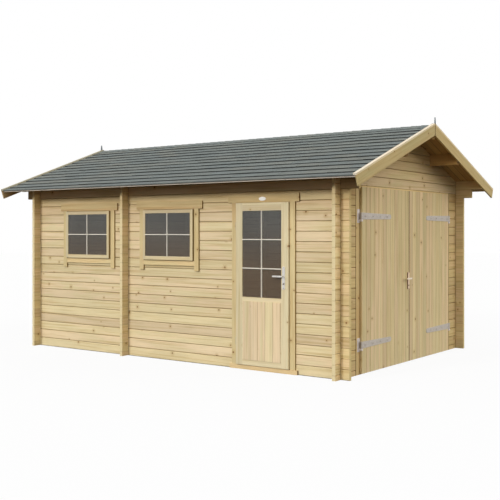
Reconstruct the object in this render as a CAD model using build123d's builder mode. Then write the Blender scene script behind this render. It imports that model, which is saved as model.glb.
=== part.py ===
from build123d import *
import math
import os

# Log walls
log_height = 120
log_thickness = 44
log_chamfer = 8
joint_gap = 0.3
house_length = 5150
house_width = 3350
corner_overhang = 115
plate_log_overhang = 235
wall_courses = 20
tie_x = -757
cut_overrun = 60

# Roof
roof_angle = 20
eave_overhang = 330
gable_overhang = 407
roof_board_thickness = 19
shingle_thickness = 6
shingle_drip = 12
ridge_cap_width = 125
bargeboard_width = 120
bargeboard_thickness = 20
bargeboard_tail = 20
verge_strip_width = 45
verge_strip_thickness = 22
purlin_width = 60
purlin_height = 150
purlin_offset = 775
finial_width = 46
finial_tip_width = 16
finial_thickness = 8
finial_height = 74

# Casings, frames and glass shared by the windows and the side door
casing_thickness = 20
casing_width = 72
head_casing_width = 98
head_casing_ear = 57
frame_rebate = 25
frame_land = 20
glass_thickness = 4
glass_setback = 4

# Windows
window_centres = {"window_1": -1492, "window_2": 6}
window_width = 877
window_height = 671
window_base = 1300
sill_casing_width = 62
casing_foot = 65
sash_clearance = 8
sash_thickness = 45
sash_stile = 43
sash_bottom_rail = 48

# Side door
side_door_x = 1514
side_door_width = 782
side_door_height = 2031
door_clearance = 5
threshold_height = 54
threshold_nosing = 25
threshold_ear = 32
leaf_thickness = 40
leaf_stile = 100
leaf_top_rail = 97
leaf_bottom_rail = 66
panel_stile = 112
panel_height = 710
lock_rail = 50
panel_thickness = 18
panel_proud = 8
hinge_radius = 7
hinge_height = 45
hinge_pin_radius = 3
hinge_inset = 280
hinge_pin_clearance = 0.3

# Garage doors
doorway_shift = 30
leaf_width = 1254
leaf_gap = 6
leaf_base = 12
leaf_top = 2200
leaf_board_thickness = 27
leaf_standoff = 6
post_cover = 25
post_face = 103
head_cover = 25
doorway_course = 18
ledge_width = 110
ledge_thickness = 28
ledge_inset = 85
ledge_heights = (350, 1860)
strap_length = 730
strap_root_width = 80
strap_tip_width = 60
strap_nose_length = 24
strap_nose_width = 28
strap_thickness = 5
strap_eye_radius = 15
strap_eye_gap = 2
pintle_radius = 6
pintle_clearance = 0.3
pintle_block_height = 24
pintle_plate_width = 64
pintle_plate_thickness = 5

# Lever handles
handle_backset = 65
garage_handle_backset = 30
handle_height = 1150
garage_handle_height = 1078
plate_width = 38
garage_plate_width = 54
plate_height = 270
plate_chamfer = 8
plate_drop = 20
plate_thickness = 6
lever_length = 128
lever_width = 19
lever_chamfer = 6
lever_thickness = 13
lever_standoff = 38
neck_radius = 9
spindle_width = 7.5
spindle_clearance = 1

# Lines that the pieces share
slope_tan = math.tan(math.radians(roof_angle))
slope_cos = math.cos(math.radians(roof_angle))
slope_sin = math.sin(math.radians(roof_angle))
half_length = house_length / 2
half_width = house_width / 2
wall_line_x = half_length - log_thickness / 2
wall_line_y = half_width - log_thickness / 2
ridge_underside = wall_courses * log_height + (half_width - log_thickness) * slope_tan
eave_reach = half_width + eave_overhang
board_top = joint_gap + roof_board_thickness
shingle_top = board_top + joint_gap + shingle_thickness
strip_top = shingle_top + joint_gap + verge_strip_thickness
roof_half_length = half_length + gable_overhang - bargeboard_thickness - joint_gap
gable_courses = math.ceil((ridge_underside - log_height / 2) / log_height)
pocket = log_thickness + 2 * joint_gap
spindle_bore_radius = spindle_width / math.sqrt(2) + spindle_clearance
front_face = Plane.XZ.offset(half_width)
os.makedirs("parts", exist_ok=True)


def roof_underside(y):
    return ridge_underside - abs(y) * slope_tan


def save(builder, name):
    builder.part.label = name
    export_step(builder.part, "parts/" + name + ".step")


# Log walls: logs chamfered on their weather side, stacked with a half-log step between the two directions
def weather_corners(section, across):
    sides = section.vertices().group_by(Axis.X)
    return sides[-1] if across > 0 else sides[0]


def stack_logs(plane, across, base, count, half_run):
    section_height = log_height - joint_gap
    heights = [base + course * log_height + section_height / 2 for course in range(count)]
    with BuildSketch(plane) as sections:
        with Locations(*[(across, height) for height in heights]):
            Rectangle(log_thickness, section_height)
        chamfer(weather_corners(sections, across), log_chamfer)
    extrude(sections.sketch, amount=half_run, both=True)


def stack_cross_logs(plane, across, count, half_run):
    half_section = log_height / 2 - joint_gap
    with BuildSketch(plane) as foot_log:
        with Locations((across, half_section / 2)):
            Rectangle(log_thickness, half_section)
        chamfer(weather_corners(foot_log, across).sort_by(Axis.Y)[-1], log_chamfer)
    extrude(foot_log.sketch, amount=half_run, both=True)
    stack_logs(plane, across, log_height / 2, count, half_run)


def notch_logs(plane, crossings, base, count):
    notch_height = log_height / 2
    heights = [base + course * log_height + notch_height / 2 for course in range(count)]
    with BuildSketch(plane) as notches:
        with Locations(*[(crossing, height) for crossing in crossings for height in heights]):
            Rectangle(pocket, notch_height)
    extrude(notches.sketch, amount=log_thickness, both=True, mode=Mode.SUBTRACT)


def trim_to_roof():
    reach = eave_reach + cut_overrun
    top = ridge_underside + log_height
    with BuildSketch(Plane.YZ) as above_roof:
        with BuildLine():
            Polyline(
                (-reach, roof_underside(reach)),
                (0, ridge_underside),
                (reach, roof_underside(reach)),
                (reach, top),
                (-reach, top),
                close=True,
            )
        make_face()
    extrude(above_roof.sketch, amount=roof_half_length + cut_overrun, both=True, mode=Mode.SUBTRACT)


def cut_opening(plane, centre_x, base, width, height):
    with BuildSketch(plane) as opening:
        with Locations((centre_x, base + height / 2)):
            Rectangle(width, height)
    extrude(opening.sketch, amount=log_thickness, both=True, mode=Mode.SUBTRACT)


side_frame_top = side_door_height + frame_rebate
side_opening_width = side_door_width + 2 * (frame_rebate + joint_gap)
window_opening_width = window_width + 2 * (frame_rebate + joint_gap)
window_opening_height = window_height + 2 * (frame_rebate + joint_gap)
window_middle = window_base + window_height / 2
crossing_xs = (-wall_line_x, tie_x, wall_line_x)


def long_wall_logs(side, first, last):
    across = side * wall_line_y
    for course in range(first, last):
        if course == wall_courses - 1:
            half_run = roof_half_length
        elif course == wall_courses - 2:
            half_run = half_length + plate_log_overhang
        else:
            half_run = half_length + corner_overhang
        stack_logs(Plane.YZ, across, course * log_height, 1, half_run)
    plane = Plane.XZ.offset(-across)
    notch_logs(plane, crossing_xs, 0, wall_courses)
    trim_to_roof()


def cut_front_openings():
    plane = Plane.XZ.offset(wall_line_y)
    for centre_x in window_centres.values():
        base = window_middle - window_opening_height / 2
        cut_opening(plane, centre_x, base, window_opening_width, window_opening_height)
    cut_opening(plane, side_door_x, 0, side_opening_width, side_frame_top + joint_gap)


def keep_beside_door(direction):
    plane = Plane.XZ.offset(wall_line_y)
    reach = house_length + plate_log_overhang
    height = (wall_courses + 1) * log_height
    with BuildSketch(plane) as other_side:
        with Locations((side_door_x - direction * reach / 2, height / 2)):
            Rectangle(reach, height)
    extrude(other_side.sketch, amount=log_thickness, both=True, mode=Mode.SUBTRACT)


door_courses = math.floor(side_frame_top / log_height)

with BuildPart() as front_wall:
    long_wall_logs(-1, 0, door_courses)
    cut_front_openings()
    keep_beside_door(-1)
save(front_wall, "front_wall")

with BuildPart() as front_wall_corner:
    long_wall_logs(-1, 0, door_courses)
    cut_front_openings()
    keep_beside_door(1)
save(front_wall_corner, "front_wall_corner")

with BuildPart() as front_wall_top:
    long_wall_logs(-1, door_courses, wall_courses)
    cut_front_openings()
save(front_wall_top, "front_wall_top")

with BuildPart() as back_wall:
    long_wall_logs(1, 0, wall_courses)
save(back_wall, "back_wall")

# Short tie logs that cross the long walls and stiffen them
tie_courses = math.floor((roof_underside(half_width + corner_overhang) - log_height / 2) / log_height)
for tie_name, tie_side in (("front_tie_logs", -1), ("back_tie_logs", 1)):
    with BuildPart() as tie_logs:
        tie_plane = Plane.XZ.offset(-tie_side * wall_line_y)
        stack_cross_logs(tie_plane, tie_x, tie_courses, log_thickness / 2 + corner_overhang)
        tie_cross_plane = Plane.YZ.offset(tie_x)
        notch_logs(tie_cross_plane, (tie_side * wall_line_y,), log_height / 2, tie_courses)
        trim_to_roof()
    save(tie_logs, tie_name)


# Gable walls
def draw_purlins(grow):
    purlin_base_drop = purlin_height + grow
    for purlin_y in (-purlin_offset, 0, purlin_offset):
        top = roof_underside(max(abs(purlin_y) - purlin_width / 2, 0))
        with Locations((purlin_y, top - purlin_base_drop / 2)):
            Rectangle(purlin_width + 2 * grow, purlin_base_drop)


def gable_logs(end):
    across = end * wall_line_x
    stack_cross_logs(Plane.XZ, across, gable_courses, half_width + corner_overhang)
    notch_logs(Plane.YZ.offset(across), (-wall_line_y, wall_line_y), log_height / 2, wall_courses)
    with BuildSketch(Plane.YZ.offset(across)) as purlin_pockets:
        draw_purlins(joint_gap)
    extrude(purlin_pockets.sketch, amount=log_thickness, both=True, mode=Mode.SUBTRACT)
    trim_to_roof()


with BuildPart() as rear_gable_wall:
    gable_logs(-1)
save(rear_gable_wall, "rear_gable_wall")

doorway_top = log_height / 2 + doorway_course * log_height
leaf_span = 2 * leaf_width + leaf_gap
post_outer = leaf_span / 2 + post_face
gable_top = ridge_underside + cut_overrun
gable_reach = half_width + corner_overhang + cut_overrun
for gable_name, strip_low, strip_high, strip_base, strip_height in (
    ("door_gable_front_logs", -gable_reach, doorway_shift - post_outer - joint_gap, 0, doorway_top),
    ("door_gable_back_logs", doorway_shift + post_outer + joint_gap, gable_reach, 0, doorway_top),
    ("door_gable_top_logs", -gable_reach, gable_reach, doorway_top, gable_top - doorway_top),
):
    with BuildPart() as door_gable_part:
        gable_logs(1)
        with BuildSketch(Plane.YZ.offset(wall_line_x)):
            with Locations(((strip_low + strip_high) / 2, strip_base + strip_height / 2)):
                Rectangle(strip_high - strip_low, strip_height)
        extrude(amount=log_thickness, both=True, mode=Mode.INTERSECT)
    save(door_gable_part, gable_name)

# Purlins, bevelled to the roof and carried by the gable walls
for purlin_name, purlin_ys in (("ridge_purlin", (0,)), ("side_purlins", (-purlin_offset, purlin_offset))):
    with BuildPart() as purlin:
        with BuildSketch(Plane.YZ):
            for purlin_y in purlin_ys:
                purlin_top = roof_underside(max(abs(purlin_y) - purlin_width / 2, 0))
                with Locations((purlin_y, purlin_top - purlin_height / 2)):
                    Rectangle(purlin_width, purlin_height)
        extrude(amount=roof_half_length, both=True)
        trim_to_roof()
    save(purlin, purlin_name)


# Roof: bands that lie between two offsets square to the slope
def draw_roof_band(side, low, high, reach):
    ridge_y = joint_gap / 2
    points = []
    for offset in (low, high):
        points.append((side * ridge_y, ridge_underside + offset / slope_cos - ridge_y * slope_tan))
    for offset in (high, low):
        tail_y = reach + offset * slope_sin
        points.append((side * tail_y, roof_underside(reach) + offset * slope_cos))
    with BuildLine() as outline:
        Polyline(*points, close=True)
    make_face(outline.edges())


for slope_name, slope_side in (("front", -1), ("back", 1)):
    with BuildPart() as roof_boards:
        with BuildSketch(Plane.YZ):
            draw_roof_band(slope_side, joint_gap, board_top, eave_reach)
        extrude(amount=roof_half_length, both=True)
    save(roof_boards, slope_name + "_roof_boards")

    with BuildPart() as shingles:
        with BuildSketch(Plane.YZ):
            draw_roof_band(slope_side, board_top + joint_gap, shingle_top, eave_reach + shingle_drip)
        extrude(amount=roof_half_length, both=True)
    save(shingles, slope_name + "_shingles")

with BuildPart() as ridge_shingles:
    cap_low = shingle_top + joint_gap
    cap_high = cap_low + shingle_thickness
    cap_reach = ridge_cap_width * slope_cos
    with BuildSketch(Plane.YZ):
        with BuildLine():
            Polyline(
                (0, ridge_underside + cap_low / slope_cos),
                (cap_reach, roof_underside(cap_reach) + cap_low / slope_cos),
                (cap_reach, roof_underside(cap_reach) + cap_high / slope_cos),
                (0, ridge_underside + cap_high / slope_cos),
                (-cap_reach, roof_underside(cap_reach) + cap_high / slope_cos),
                (-cap_reach, roof_underside(cap_reach) + cap_low / slope_cos),
                close=True,
            )
        make_face()
    extrude(amount=half_length + gable_overhang - verge_strip_width - joint_gap, both=True)
save(ridge_shingles, "ridge_shingles")

bargeboard_reach = eave_reach + bargeboard_tail
for gable_name, gable_end in (("door_gable", 1), ("rear_gable", -1)):
    outer_plane = Plane.YZ.offset(gable_end * (half_length + gable_overhang))
    with BuildPart() as bargeboards:
        with BuildSketch(outer_plane):
            for slope_side in (-1, 1):
                draw_roof_band(slope_side, shingle_top - bargeboard_width, shingle_top, bargeboard_reach)
        extrude(amount=-gable_end * bargeboard_thickness)
    save(bargeboards, gable_name + "_bargeboards")

    with BuildPart() as verge_strips:
        with BuildSketch(outer_plane):
            for slope_side in (-1, 1):
                draw_roof_band(slope_side, shingle_top + joint_gap, strip_top, bargeboard_reach)
        extrude(amount=-gable_end * verge_strip_width)
    save(verge_strips, gable_name + "_verge_strips")

finial_base = ridge_underside + (strip_top + joint_gap) / slope_cos
with BuildPart() as ridge_finials:
    for finial_end in (-1, 1):
        with BuildSketch(Plane.YZ.offset(finial_end * (half_length + gable_overhang))):
            with BuildLine():
                Polyline(
                    (-finial_width / 2, finial_base - finial_width),
                    (finial_width / 2, finial_base - finial_width),
                    (finial_tip_width / 2, finial_base + finial_height),
                    (-finial_tip_width / 2, finial_base + finial_height),
                    close=True,
                )
            make_face()
        extrude(amount=-finial_end * finial_thickness)
    with BuildSketch(Plane.YZ):
        with BuildLine():
            Polyline(
                (0, finial_base),
                (cut_overrun, finial_base - cut_overrun * slope_tan),
                (cut_overrun, finial_base - cut_overrun),
                (-cut_overrun, finial_base - cut_overrun),
                (-cut_overrun, finial_base - cut_overrun * slope_tan),
                close=True,
            )
        make_face()
    extrude(amount=half_length + gable_overhang + cut_overrun, both=True, mode=Mode.SUBTRACT)
save(ridge_finials, "ridge_finials")


# Windows
def draw_casings(centre_x, foot, top, width):
    side_height = top - foot - joint_gap
    side_x = (width + casing_width) / 2
    with Locations((centre_x - side_x, foot + side_height / 2), (centre_x + side_x, foot + side_height / 2)):
        Rectangle(casing_width, side_height)
    with Locations((centre_x, top + head_casing_width / 2)):
        Rectangle(width + 2 * (casing_width + head_casing_ear), head_casing_width)


def draw_ring(centre_x, base, width, height, stile, top_rail, bottom_rail):
    with Locations((centre_x, base + height / 2)):
        Rectangle(width, height)
    opening_height = height - top_rail - bottom_rail
    with Locations((centre_x, base + bottom_rail + opening_height / 2)):
        Rectangle(width - 2 * stile, opening_height, mode=Mode.SUBTRACT)


for window_name, window_x in window_centres.items():
    with BuildPart() as window_casing:
        with BuildSketch(front_face.offset(joint_gap)):
            draw_casings(window_x, window_base - sill_casing_width - casing_foot, window_base + window_height,
                         window_width)
            with Locations((window_x, window_base - sill_casing_width / 2)):
                Rectangle(window_width - 2 * joint_gap, sill_casing_width)
        extrude(amount=casing_thickness)
    save(window_casing, window_name + "_casing")

    with BuildPart() as window_frame:
        with BuildSketch(front_face):
            frame_face = frame_rebate + frame_land
            draw_ring(window_x, window_base - frame_rebate, window_width + 2 * frame_rebate,
                      window_height + 2 * frame_rebate, frame_face, frame_face, frame_face)
        extrude(amount=-log_thickness)
    save(window_frame, window_name + "_frame")

    sash_base = window_base + sash_clearance
    sash_width = window_width - 2 * sash_clearance
    sash_height = window_height - 2 * sash_clearance
    with BuildPart() as window_sash:
        with BuildSketch(front_face.offset(joint_gap)):
            draw_ring(window_x, sash_base, sash_width, sash_height, sash_stile, sash_stile, sash_bottom_rail)
        extrude(amount=sash_thickness)
    save(window_sash, window_name + "_sash")

    pane_height = sash_height - sash_stile - sash_bottom_rail
    with BuildPart() as window_glass:
        with BuildSketch(front_face.offset(joint_gap + sash_thickness - glass_setback)):
            with Locations((window_x, sash_base + sash_bottom_rail + pane_height / 2)):
                Rectangle(sash_width - 2 * (sash_stile + joint_gap), pane_height - 2 * joint_gap)
        extrude(amount=-glass_thickness)
    save(window_glass, window_name + "_glass")

# Side door
with BuildPart() as side_door_casing:
    with BuildSketch(front_face.offset(joint_gap)):
        draw_casings(side_door_x, threshold_height + joint_gap, side_door_height, side_door_width)
    extrude(amount=casing_thickness)
save(side_door_casing, "side_door_casing")

with BuildPart() as side_door_frame:
    with BuildSketch(front_face):
        frame_base = threshold_height + joint_gap
        frame_height = side_frame_top - frame_base
        with Locations((side_door_x, frame_base + frame_height / 2)):
            Rectangle(side_door_width + 2 * frame_rebate, frame_height)
        clear_height = side_door_height - frame_land - frame_base
        with Locations((side_door_x, frame_base + clear_height / 2)):
            Rectangle(side_door_width - 2 * frame_land, clear_height, mode=Mode.SUBTRACT)
    extrude(amount=-log_thickness)
save(side_door_frame, "side_door_frame")

with BuildPart() as side_door_threshold:
    threshold_width = side_door_width + 2 * (casing_width + threshold_ear)
    with BuildSketch(front_face.offset(joint_gap)):
        with Locations((side_door_x, threshold_height / 2)):
            Rectangle(threshold_width, threshold_height)
    extrude(amount=threshold_nosing)
    with BuildSketch(front_face.offset(joint_gap)):
        with Locations((side_door_x, threshold_height / 2)):
            Rectangle(side_door_width + 2 * frame_rebate, threshold_height)
    extrude(amount=-log_thickness - joint_gap)
save(side_door_threshold, "side_door_threshold")

side_leaf_base = threshold_height + door_clearance
side_leaf_width = side_door_width - 2 * door_clearance
side_leaf_height = side_door_height - door_clearance - side_leaf_base
side_leaf_left = side_door_x - side_leaf_width / 2
side_leaf_right = side_door_x + side_leaf_width / 2
light_base = leaf_bottom_rail + panel_height + lock_rail
light_height = side_leaf_height - leaf_top_rail - light_base
light_width = side_leaf_width - 2 * leaf_stile
panel_width = side_leaf_width - 2 * panel_stile
side_leaf_back = front_face.offset(door_clearance)
side_leaf_front = front_face.offset(door_clearance + leaf_thickness)
side_handle_x = side_leaf_right - handle_backset
garage_centre = doorway_shift
garage_face = Plane.YZ.offset(half_length)
garage_leaf_back = garage_face.offset(leaf_standoff)
garage_leaf_front = garage_face.offset(leaf_standoff + leaf_board_thickness)
garage_handle_y = garage_centre - leaf_gap / 2 - garage_handle_backset


def bore_spindle(plane, along, height, depth):
    with BuildSketch(plane) as bore:
        with Locations((along, height)):
            Circle(spindle_bore_radius)
    extrude(bore.sketch, amount=depth, both=True, mode=Mode.SUBTRACT)


with BuildPart() as side_door_leaf:
    with BuildSketch(side_leaf_back):
        with Locations((side_door_x, side_leaf_base + side_leaf_height / 2)):
            Rectangle(side_leaf_width, side_leaf_height)
        with Locations((side_door_x, side_leaf_base + light_base + light_height / 2)):
            Rectangle(light_width, light_height, mode=Mode.SUBTRACT)
        with Locations((side_door_x, side_leaf_base + leaf_bottom_rail + panel_height / 2)):
            Rectangle(panel_width, panel_height, mode=Mode.SUBTRACT)
    extrude(amount=leaf_thickness)
    bore_spindle(side_leaf_front, side_handle_x, handle_height, leaf_thickness)
save(side_door_leaf, "side_door_leaf")

with BuildPart() as side_door_panel:
    with BuildSketch(side_leaf_front.offset(panel_proud - panel_thickness)):
        with Locations((side_door_x, side_leaf_base + leaf_bottom_rail + panel_height / 2)):
            Rectangle(panel_width - 2 * joint_gap, panel_height - 2 * joint_gap)
    extrude(amount=panel_thickness)
save(side_door_panel, "side_door_panel")

with BuildPart() as side_door_glass:
    with BuildSketch(side_leaf_front.offset(-glass_setback)):
        with Locations((side_door_x, side_leaf_base + light_base + light_height / 2)):
            Rectangle(light_width - 2 * joint_gap, light_height - 2 * joint_gap)
    extrude(amount=-glass_thickness)
save(side_door_glass, "side_door_glass")

# Side door hinges: barrels in the corner between the leaf's edge and the casing
side_hinge_x = side_leaf_left - hinge_radius - joint_gap
side_hinge_y = -half_width - joint_gap - casing_thickness - hinge_radius - joint_gap
side_hinge_heights = (side_leaf_base + hinge_inset, side_leaf_base + side_leaf_height - hinge_inset)

with BuildPart() as side_door_knuckles:
    for hinge_z in side_hinge_heights:
        with BuildSketch(Plane.XY.offset(hinge_z + joint_gap)):
            with Locations((side_hinge_x, side_hinge_y)):
                Circle(hinge_radius)
            with Locations((side_hinge_x + (hinge_radius + joint_gap) / 2, side_hinge_y)):
                Rectangle(hinge_radius + joint_gap, hinge_radius)
            with Locations((side_hinge_x, side_hinge_y)):
                Circle(hinge_pin_radius + hinge_pin_clearance, mode=Mode.SUBTRACT)
        extrude(amount=hinge_height)
save(side_door_knuckles, "side_door_knuckles")

with BuildPart() as side_door_hinge_pins:
    for hinge_z in side_hinge_heights:
        with BuildSketch(Plane.XY.offset(hinge_z)):
            with Locations((side_hinge_x, side_hinge_y)):
                Circle(hinge_radius)
            with Locations((side_hinge_x, side_hinge_y + (hinge_radius + joint_gap) / 2)):
                Rectangle(hinge_radius, hinge_radius + joint_gap)
        extrude(amount=-hinge_height)
        with BuildSketch(Plane.XY.offset(hinge_z)):
            with Locations((side_hinge_x, side_hinge_y)):
                Circle(hinge_pin_radius)
        extrude(amount=hinge_height)
save(side_door_hinge_pins, "side_door_hinge_pins")


# Lever handles: a long plate on each face of the leaf, and two levers on one spindle
def make_plates(front, along, height, thickness, width):
    for outward, face in ((1, front), (-1, front.offset(-thickness))):
        with BuildSketch(face.offset(outward * joint_gap)) as plate:
            with Locations((along, height - plate_drop)):
                Rectangle(width, plate_height)
            chamfer(plate.vertices(), plate_chamfer)
            with Locations((along, height)):
                Circle(spindle_bore_radius, mode=Mode.SUBTRACT)
        extrude(plate.sketch, amount=outward * plate_thickness)


def make_levers(front, along, height, thickness):
    plate_face = joint_gap + plate_thickness
    grip_reach = lever_length - lever_width / 2
    for outward, face in ((1, front), (-1, front.offset(-thickness))):
        with BuildSketch(face.offset(outward * (plate_face + lever_standoff))) as grip:
            with Locations((along - grip_reach / 2, height)):
                Rectangle(grip_reach + lever_width, lever_width)
            chamfer(grip.vertices(), lever_chamfer)
        extrude(grip.sketch, amount=outward * lever_thickness)
        with BuildSketch(face.offset(outward * (plate_face + joint_gap))) as neck:
            with Locations((along, height)):
                Circle(neck_radius)
        extrude(neck.sketch, amount=outward * (lever_standoff + lever_thickness / 2))
    with BuildSketch(front.offset(plate_face + lever_standoff)) as spindle:
        with Locations((along, height)):
            Rectangle(spindle_width, spindle_width)
    extrude(spindle.sketch, amount=-(thickness + 2 * (plate_face + lever_standoff)))


with BuildPart() as side_door_handle_plates:
    make_plates(side_leaf_front, side_handle_x, handle_height, leaf_thickness, plate_width)
save(side_door_handle_plates, "side_door_handle_plates")

with BuildPart() as side_door_lever:
    make_levers(side_leaf_front, side_handle_x, handle_height, leaf_thickness)
save(side_door_lever, "side_door_lever")

# Garage doorway frame
with BuildPart() as garage_frame:
    with BuildSketch(garage_face):
        head_top = doorway_top - joint_gap
        with Locations((garage_centre, head_top / 2)):
            Rectangle(2 * post_outer, head_top)
        clear_width = leaf_span - 2 * post_cover
        clear_top = leaf_top - head_cover
        with Locations((garage_centre, clear_top / 2)):
            Rectangle(clear_width, clear_top, mode=Mode.SUBTRACT)
    extrude(amount=-log_thickness)
save(garage_frame, "garage_frame")


# Garage leaves: a sheet of upright boards on ledges and a brace, hung on straps
def draw_brace(hinge_y, toward):
    low_y = hinge_y + toward * ledge_inset
    high_y = hinge_y + toward * (leaf_width - ledge_inset)
    low_z = ledge_heights[0] + ledge_width / 2
    high_z = ledge_heights[1] - ledge_width / 2
    with BuildLine() as outline:
        Polyline(
            (low_y, low_z),
            (low_y + toward * ledge_width, low_z),
            (high_y, high_z),
            (high_y - toward * ledge_width, high_z),
            close=True,
        )
    make_face(outline.edges())


eye_reach = strap_eye_radius + strap_eye_gap
hinge_line_x = half_length + leaf_standoff + leaf_board_thickness + joint_gap + strap_thickness / 2
for leaf_name, leaf_side in (("left", -1), ("right", 1)):
    edge_y = garage_centre + leaf_side * leaf_span / 2
    toward = -leaf_side
    leaf_height = leaf_top - leaf_base
    leaf_middle_y = edge_y + toward * leaf_width / 2
    hinge_line_y = edge_y - toward * eye_reach

    with BuildPart() as leaf_boards:
        with BuildSketch(garage_leaf_back):
            with Locations((leaf_middle_y, leaf_base + leaf_height / 2)):
                Rectangle(leaf_width, leaf_height)
        extrude(amount=leaf_board_thickness)
        if leaf_side < 0:
            bore_spindle(garage_leaf_front, garage_handle_y, garage_handle_height, leaf_board_thickness)
    save(leaf_boards, leaf_name + "_leaf_boards")

    with BuildPart() as leaf_ledges:
        with BuildSketch(garage_leaf_back.offset(-joint_gap)):
            with Locations(*[(leaf_middle_y, ledge_z) for ledge_z in ledge_heights]):
                Rectangle(leaf_width - 2 * ledge_inset, ledge_width)
            draw_brace(edge_y, toward)
        extrude(amount=-ledge_thickness)
    save(leaf_ledges, leaf_name + "_leaf_ledges")

    with BuildPart() as leaf_straps:
        for strap_z in ledge_heights:
            with BuildSketch(garage_leaf_front.offset(joint_gap)):
                tip_y = hinge_line_y + toward * strap_length
                nose_y = tip_y + toward * strap_nose_length
                with BuildLine():
                    Polyline(
                        (hinge_line_y, strap_z + strap_root_width / 2),
                        (hinge_line_y, strap_z - strap_root_width / 2),
                        (tip_y, strap_z - strap_tip_width / 2),
                        (nose_y, strap_z - strap_nose_width / 2),
                        (nose_y, strap_z + strap_nose_width / 2),
                        (tip_y, strap_z + strap_tip_width / 2),
                        close=True,
                    )
                make_face()
            extrude(amount=strap_thickness)
            eye_plane = Plane.XY.offset(strap_z - strap_root_width / 2)
            with BuildSketch(eye_plane):
                with Locations((hinge_line_x, hinge_line_y)):
                    Circle(strap_eye_radius)
            extrude(amount=strap_root_width)
            with BuildSketch(eye_plane):
                with Locations((hinge_line_x, hinge_line_y)):
                    Circle(pintle_radius + pintle_clearance)
            extrude(amount=strap_root_width, mode=Mode.SUBTRACT)
    save(leaf_straps, leaf_name + "_leaf_straps")

    with BuildPart() as leaf_pintles:
        for strap_z in ledge_heights:
            block_top = strap_z - strap_root_width / 2 - joint_gap
            block_depth = hinge_line_x - half_length - joint_gap
            with BuildSketch(Plane.XY.offset(block_top)):
                with Locations((hinge_line_x, hinge_line_y)):
                    Circle(strap_eye_radius)
                with Locations((hinge_line_x - block_depth / 2, hinge_line_y)):
                    Rectangle(block_depth, 2 * strap_eye_radius)
            extrude(amount=-pintle_block_height)
            with BuildSketch(Plane.XY.offset(block_top)):
                with Locations((hinge_line_x, hinge_line_y)):
                    Circle(pintle_radius)
            extrude(amount=strap_root_width)
            with BuildSketch(garage_face.offset(joint_gap)):
                plate_y = hinge_line_y + toward * (strap_eye_radius - pintle_plate_width / 2)
                with Locations((plate_y, strap_z)):
                    Rectangle(pintle_plate_width, 2 * strap_root_width)
            extrude(amount=pintle_plate_thickness)
    save(leaf_pintles, leaf_name + "_pintles")

with BuildPart() as garage_handle_plates:
    make_plates(garage_leaf_front, garage_handle_y, garage_handle_height, leaf_board_thickness,
                garage_plate_width)
save(garage_handle_plates, "garage_handle_plates")

with BuildPart() as garage_lever:
    make_levers(garage_leaf_front, garage_handle_y, garage_handle_height, leaf_board_thickness)
save(garage_lever, "garage_lever")
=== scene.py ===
import math
import random

import bmesh
import bpy
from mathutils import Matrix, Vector


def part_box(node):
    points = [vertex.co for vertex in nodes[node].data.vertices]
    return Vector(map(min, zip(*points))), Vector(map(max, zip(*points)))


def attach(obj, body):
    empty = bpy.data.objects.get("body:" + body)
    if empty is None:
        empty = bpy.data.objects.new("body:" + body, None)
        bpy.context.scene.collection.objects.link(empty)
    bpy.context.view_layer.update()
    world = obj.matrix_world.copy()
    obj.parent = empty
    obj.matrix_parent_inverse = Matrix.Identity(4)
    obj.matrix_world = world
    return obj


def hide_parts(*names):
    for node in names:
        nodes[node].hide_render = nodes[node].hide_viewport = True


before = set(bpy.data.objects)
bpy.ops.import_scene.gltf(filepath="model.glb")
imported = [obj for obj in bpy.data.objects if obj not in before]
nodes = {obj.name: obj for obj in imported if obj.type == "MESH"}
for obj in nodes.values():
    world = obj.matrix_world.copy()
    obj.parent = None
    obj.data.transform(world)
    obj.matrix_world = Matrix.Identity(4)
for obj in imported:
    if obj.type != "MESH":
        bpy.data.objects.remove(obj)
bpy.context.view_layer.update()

# Sizes of the house that the looks follow, in metres
HOUSE_HALF_LENGTH = 2.575
HOUSE_HALF_WIDTH = 1.675
LOG_PITCH = 0.120
LOG_STEP = LOG_PITCH / 2
ROOF_ANGLE = math.radians(20)
RIDGE_UNDERSIDE = 2.9936
ROOF_BOARD_TOP = 0.0193
ROOF_BOARD_PITCH = 0.095
LEAF_BOARDS = 12
PANEL_BOARDS = 5
TIE_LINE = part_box("front_tie_logs")[1].x

# Roof shingles: a felt under staggered tabs whose lower ends stand on the course below
FELT_THICKNESS = 0.002
TAB_WIDTH = 0.333
TAB_SLOT = 0.004
TAB_LEAST = TAB_SLOT * 3
TAB_BUTT = 0.012
TAB_HEAD = 0.0025
TAB_LAP = 0.035
TAB_SHUFFLE = 0.03
TAB_SLIP = 0.004
TAB_UNEVEN = 0.002
TAB_CLEARANCE = 0.001
HIGHEST_HEAD = 0.006
FELT_INSET = 0.004
SHINGLE_SEED = 11
SHADOW_BAND = 0.034
FIRST_EXPOSURE = 0.125
EXPOSURE = 0.162
COURSES = 13
CAP_WIDTH = 0.125
CAP_EXPOSURE = 0.145
CAP_LAP = 0.03
CAP_BUTT = 0.008
CAP_HEAD = 0.003
CAP_LIFT = 0.004
CAP_UNEVEN = 0.003
CAP_SEED = 5
SEAT = 0.0003

# Camera at the photograph's place, for a square image
CAMERA_PLACE = (7.4014, -10.042, 1.669)
CAMERA_YAW = math.radians(36.05)
CAMERA_LENS = 61.22
CAMERA_SENSOR = 36
CAMERA_SHIFT_Y = -0.0354
CAMERA_REACH = 200

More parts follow.
